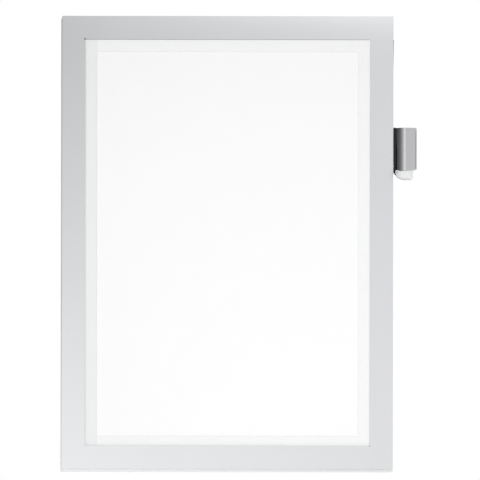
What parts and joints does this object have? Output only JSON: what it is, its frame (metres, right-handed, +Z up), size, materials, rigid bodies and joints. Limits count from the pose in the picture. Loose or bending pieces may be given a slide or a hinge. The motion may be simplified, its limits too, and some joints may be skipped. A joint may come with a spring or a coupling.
{
  "type": "magnetic sign frame",
  "caption": "Flat magnetic sign frame for an A4 sheet, with a fold-open silver front, a clear retaining film and a pen holder at its right edge.",
  "frame": {"origin": "middle of the top rear magnet strip's back face, in the plane of the wall or steel surface that the frame is held on", "axes": "+Z up along the long side, +X to the right seen from the front, +Y into the wall, so the front faces -Y"},
  "size_m": [0.2527, 0.0152, 0.3241],
  "materials": {
    "silver_face": "satin silver print",
    "silver_film": "satin silver film",
    "magnet_rubber": "matt magnetic rubber",
    "paper": "matt white paper",
    "clear_film": "clear film",
    "adhesive_foam": "matt foam tape",
    "black_plastic": "fine satin moulding",
    "satin_metal": "satin, drawn lengthwise",
    "frosted_plastic": "frosted clear moulding"
  },
  "bodies": {
    "back_leaf": {"back_panel": "silver_film", "rear_strip_top": "magnet_rubber", "rear_strip_bottom": "magnet_rubber", "rear_strip_left": "magnet_rubber", "rear_strip_right": "magnet_rubber", "counter_strip_top": "magnet_rubber", "counter_strip_bottom": "magnet_rubber", "counter_strip_left": "magnet_rubber", "counter_strip_right": "magnet_rubber", "insert_sheet": "paper", "hinge_film": "clear_film", "bracket_pad": "adhesive_foam", "pen_bracket": "black_plastic", "pen_tube": "satin_metal", "pen_stop": "frosted_plastic"},
    "front_leaf": {"front_face": "silver_face", "front_strip_top": "magnet_rubber", "front_strip_bottom": "magnet_rubber", "front_strip_left": "magnet_rubber", "front_strip_right": "magnet_rubber", "retaining_film": "clear_film"}
  },
  "joints": [
    {"name": "front_hinge", "type": "hinge", "parent": "back_leaf", "child": "front_leaf", "pos_m": [-0.118, -0.0019, -0.1524], "axis": [0, 0, -1], "range_deg": [0, 180], "deforming": ["hinge_film"]}
  ]
}
